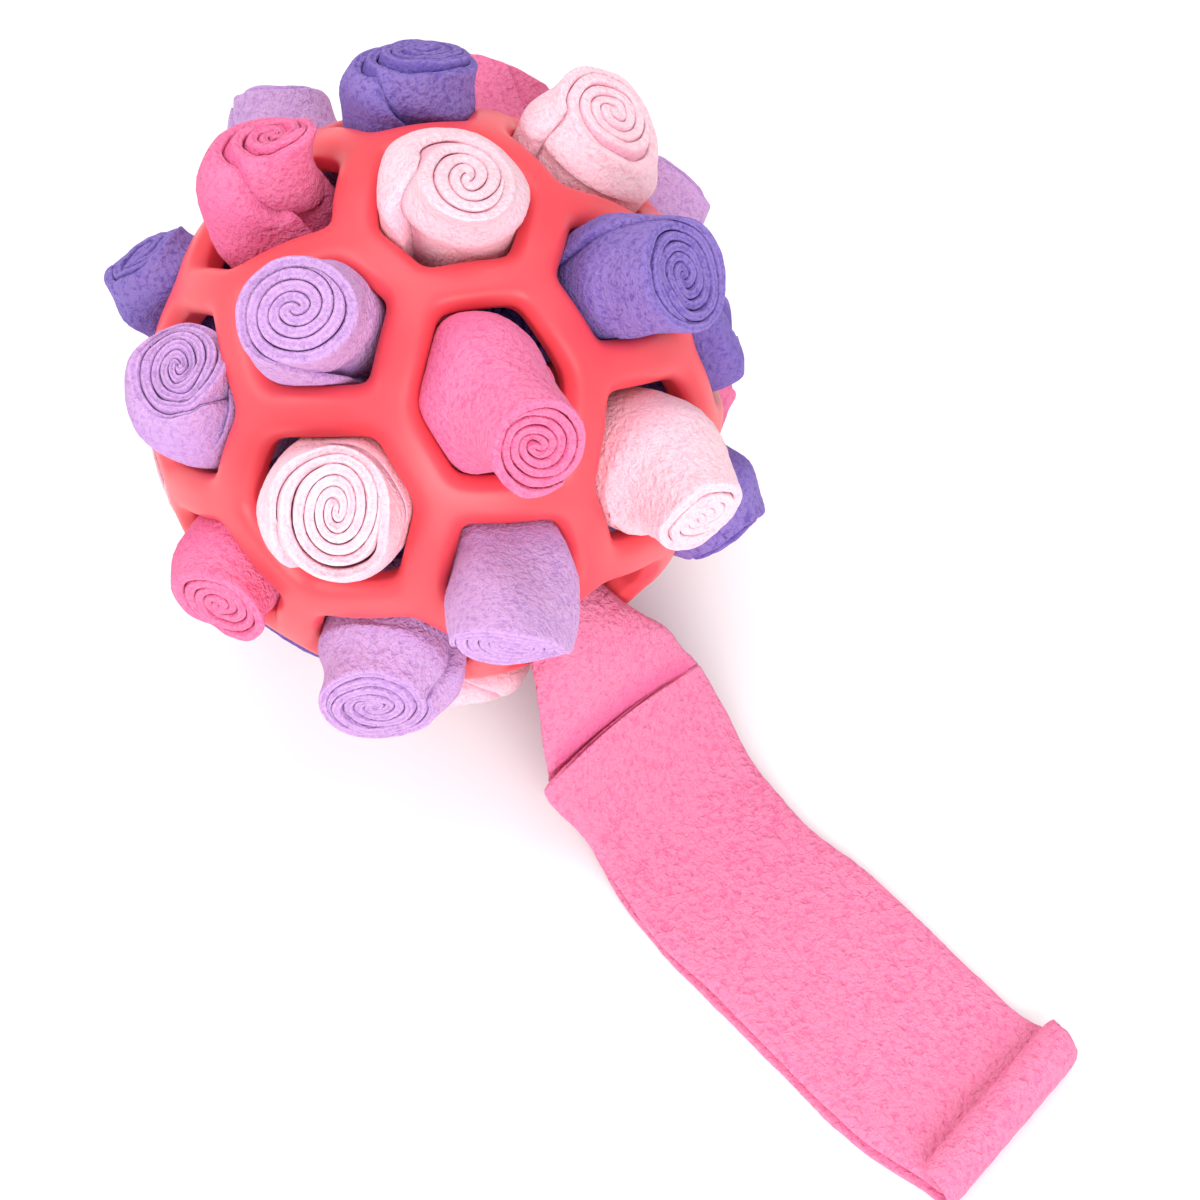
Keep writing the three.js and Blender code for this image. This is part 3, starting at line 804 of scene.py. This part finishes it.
# %% Make the mesh of a sheet from its loops
def mesh_of_loops(name, points, fold, nap):
    """A closed skin over loops of points, with both ends capped. fold is how much painted shade there
    is, most deep inside a fold, and nap is 1 where the brushed side can rise."""
    count, size = points.shape[:2]
    shape = bpy.data.meshes.new(name)
    faces = [
        (i * size + j, i * size + (j + 1) % size, (i + 1) * size + (j + 1) % size, (i + 1) * size + j)
        for i in range(count - 1)
        for j in range(size)
    ]
    faces.append(tuple(range(size))[::-1])
    faces.append(tuple((count - 1) * size + j for j in range(size)))
    shape.from_pydata((points.reshape(-1, 3) * MM).tolist(), [], faces)
    # the fold attribute carries the painted shade into the material
    painted_fold_shade = shape.attributes.new("fold", "FLOAT", "POINT")
    painted_fold_shade.data.foreach_set("value", fold.astype(np.float32).ravel())
    obj = bpy.data.objects.new(name, shape)
    bpy.context.scene.collection.objects.link(obj)
    group = obj.vertex_groups.new(name="nap")
    for k, weight in enumerate(nap.ravel()):
        group.add([k], float(weight), "REPLACE")
    work_on(obj)
    bpy.ops.mesh.select_all(action="SELECT")
    bpy.ops.mesh.normals_make_consistent(inside=False)
    leave_edit()
    return obj


# %% Wind all the rolls
NAP_HEIGHT = 0.35
nap = bpy.data.textures.new("nap", "CLOUDS")
nap.noise_scale = 2.4 * MM
nap.noise_depth = 1


def raise_nap(piece, height):
    apply_modifier(
        piece,
        "DISPLACE",
        texture=nap,
        texture_coords="LOCAL",
        strength=height * MM,
        mid_level=0.5,
        vertex_group="nap",
    )


total = 0
for index, row in ROLLS.items():
    colour = row[0]
    points, fold, shows, flat = wind_roll(index, row)
    roll = mesh_of_loops(f"wound_fleece_{index:02d}", points, fold, shows)
    apply_modifier(roll, "SUBSURF", levels=1, render_levels=1)
    raise_nap(roll, NAP_HEIGHT)
    bpy.ops.object.shade_smooth()
    slot, fleece = FLEECE[colour]
    roll.data.materials.append(fleece)
    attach(roll, "root")
    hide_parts(f"roll_{index:02d}_{colour}")
    total += 2 * len(roll.data.polygons)
print("rolls:", len(ROLLS), "triangles:", total, "last strip:", [round(x) for x in flat], "mm")

# %% [markdown]
# ## The pulled-out strip
# One strip is drawn out of its hole. It is doubled: the lower layer comes out of the ball, runs
# down to the floor and along it to a curled end, where it turns back and lies on itself as far
# as its cut end, near the ball. Rows of numbers give the middle line at each station, a smooth
# curve through them gives the cloth, and the section is the same kind of closed loop as a roll's.

# %% Stations of the strip
STRIP_CLOTH = 2.7
LAYER_GAP = 0.6
FROM_HOLE = [  # x, z, y of the middle, width, how far the sides hang
    (53, 71, -6, 24, 8),
    (60, 69.5, -7, 27, 8.5),
    (67.5, 64, -6.8, 33.5, 8),
    (73.5, 54, -5, 43.5, 8),
    (77, 43, -4.2, 48.5, 7),
]
DOUBLED = [  # both layers together: x and z of the line between them
    (80.9, 35.4, -3.9, 51.5, 4.9),
    (82, 28.5, -3.5, 54, 4),
    (87, 21, -3, 54, 3),
    (92.5, 14.5, -2.5, 53, 2),
    (99, 9.2, -3, 52.5, 1.2),
    (107, 5.6, -4, 52, 0.6),
    (117, 3.6, -5, 53, 0.2),
    (128, 3.1, -5.3, 53.5, 0),
    (146, 3.1, -3.7, 55, 0),
    (164, 3.1, -2.6, 55.5, 0),
    (186, 3.1, -1.8, 55.5, 0),
    (207, 3.1, 0, 55, 0),
]
CURL_AT, CURL_RADIUS, CURL_TURN, CURL_STEPS = 221, 3.9, 228, 9
CURL_Y, CURL_WIDTH, CURL_SKEW = 4.5, 54, -0.15
FOLD_STEPS = 5
CUT_SKEW = (-0.04, -0.035, -0.02)  # the cut end is slanted, and lies close on the layer under it
CUT_PRESSED = (1.2, 0.6)
CUT_WIDER = (4.5, 3.5, 2.0, 0.8)
CUT_THINNER = 0.4  # at the very end, and full again after CUT_LENGTH
CUT_LENGTH = 7.0
LAYER_SHIFT, SHIFT_AT, SHIFT_SPAN = 1.4, 110, 40  # the layers lie askew, and cross at this x
half = (STRIP_CLOTH + LAYER_GAP) / 2
pair = [(*row, 0.0) for row in DOUBLED]
for i in range(CURL_STEPS + 1):
    a = math.radians(CURL_TURN * i / CURL_STEPS)
    z = half + STRIP_CLOTH / 2 + CURL_RADIUS * (1 - math.cos(a))
    pair.append((CURL_AT + CURL_RADIUS * math.sin(a), z, CURL_Y, CURL_WIDTH, 0, CURL_SKEW))
pair = np.array(pair, float)
heading = np.gradient(pair[:, :2], axis=0)
heading = unit(heading)


def layer(side):
    rows = pair.copy()
    rows[:, 0] -= side * half * heading[:, 1]
    rows[:, 1] += side * half * heading[:, 0]
    rows[:, 2] += side * LAYER_SHIFT / 2 * np.clip((rows[:, 0] - SHIFT_AT) / SHIFT_SPAN, -1, 1)
    return rows


turn_back = []
for i in range(1, FOLD_STEPS):
    a = math.pi * i / FOLD_STEPS - math.pi / 2
    row = pair[-1].copy()
    row[0] += half * (math.cos(a) * heading[-1, 0] - math.sin(a) * heading[-1, 1])
    row[1] += half * (math.cos(a) * heading[-1, 1] + math.sin(a) * heading[-1, 0])
    turn_back.append(row)
upper = layer(1)
upper[: len(CUT_SKEW), 5] = CUT_SKEW
upper[: len(CUT_PRESSED), 0] -= CUT_PRESSED
upper[: len(CUT_WIDER), 3] += CUT_WIDER
upper[: len(CUT_WIDER), 2] -= np.array(CUT_WIDER) / 3
stations = np.vstack([[(*row, 0.0) for row in FROM_HOLE], layer(-1), turn_back, upper[::-1]])
print("stations of the strip:", len(stations))

# %% A smooth curve through the stations
STATION_STEP = 4.0


def through(rows, step):
    """Points every few millimetres on a smooth curve through rows."""
    gaps = np.linalg.norm(np.diff(rows[:, :2], axis=0), axis=1)
    at = np.concatenate([[0], np.cumsum(np.maximum(gaps, 0.2))])
    slopes = np.gradient(rows, at, axis=0)
    made = []
    for i in range(len(rows) - 1):
        span = at[i + 1] - at[i]
        pieces = max(1, round(span / step))
        for t in np.arange(pieces) / pieces:
            h = (2 * t**3 - 3 * t**2 + 1, t**3 - 2 * t**2 + t, -2 * t**3 + 3 * t**2, t**3 - t**2)
            start = h[0] * rows[i] + h[1] * span * slopes[i]
            made.append(start + h[2] * rows[i + 1] + h[3] * span * slopes[i + 1])
    return np.array(made + [rows[-1]])


line = through(stations, STATION_STEP)

# %% The strip's section at each station
STRIP_COLUMNS = 15
EDGE_WANDER, EDGE_WAVE, EDGE_POWER = 0.4, 17, 6  # the cut edges wave by this much, this far apart
EDGE_THINNER = 0.55
PAINTED_SHADE_BETWEEN, PAINTED_SHADE_FROM, PAINTED_SHADE_SPAN = 0.9, 11, 13  # painted shade between the layers, deeper in colour from before the cut end on
way = unit(np.gradient(line[:, :2], axis=0))
share = np.linspace(-0.5, 0.5, STRIP_COLUMNS)
top_and_bottom = [(1, s) for s in share] + [(-1, s) for s in share[::-1]]
loops = np.zeros((len(line), len(top_and_bottom), 3))
along = np.concatenate([[0], np.cumsum(np.linalg.norm(np.diff(line[:, :2], axis=0), axis=1))])
for i, (x, z, y, width, arch, skew) in enumerate(line):
    worn_thin = CUT_THINNER + (1 - CUT_THINNER) * smooth((along[-1] - along[i]) / CUT_LENGTH)
    for j, (side, s) in enumerate(top_and_bottom):
        wave = noise.noise(Vector((along[i] / EDGE_WAVE, round(s), 5.0)))
        ragged = EDGE_WANDER * wave * (abs(s) * 2) ** EDGE_POWER
        across_strip = y + s * width + ragged * 2
        thickness = STRIP_CLOTH / 2 * worn_thin * (EDGE_THINNER if abs(s) == 0.5 else 1)
        loops[i, j] = (
            x + skew * (across_strip - CURL_Y) - side * thickness * way[i, 1],
            across_strip,
            z + side * thickness * way[i, 0] - arch * (2 * s) ** 2,
        )
loops[..., 2] = np.maximum(loops[..., 2], LEAST_HEIGHT)
inner_face = np.array([side == 1 and abs(s) < 0.5 for side, s in top_and_bottom])
doubled_from = along[np.argmax(line[:, 1] < DOUBLED[0][1])]
# painted shade on the inner faces, where the layers lie on each other and under the cut end
painted_shade_between = PAINTED_SHADE_BETWEEN * smooth((along - doubled_from + PAINTED_SHADE_FROM) / PAINTED_SHADE_SPAN)[:, None] * inner_face
strip = mesh_of_loops("unrolled_fleece", loops, painted_shade_between, np.ones(loops.shape[:2]))
apply_modifier(strip, "SUBSURF", levels=2, render_levels=2)
raise_nap(strip, NAP_HEIGHT)
bpy.ops.object.shade_smooth()
strip.data.materials.append(FLEECE["strip"][1])
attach(strip, "root")
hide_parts("unrolled_strip")
print("strip triangles:", 2 * len(strip.data.polygons))
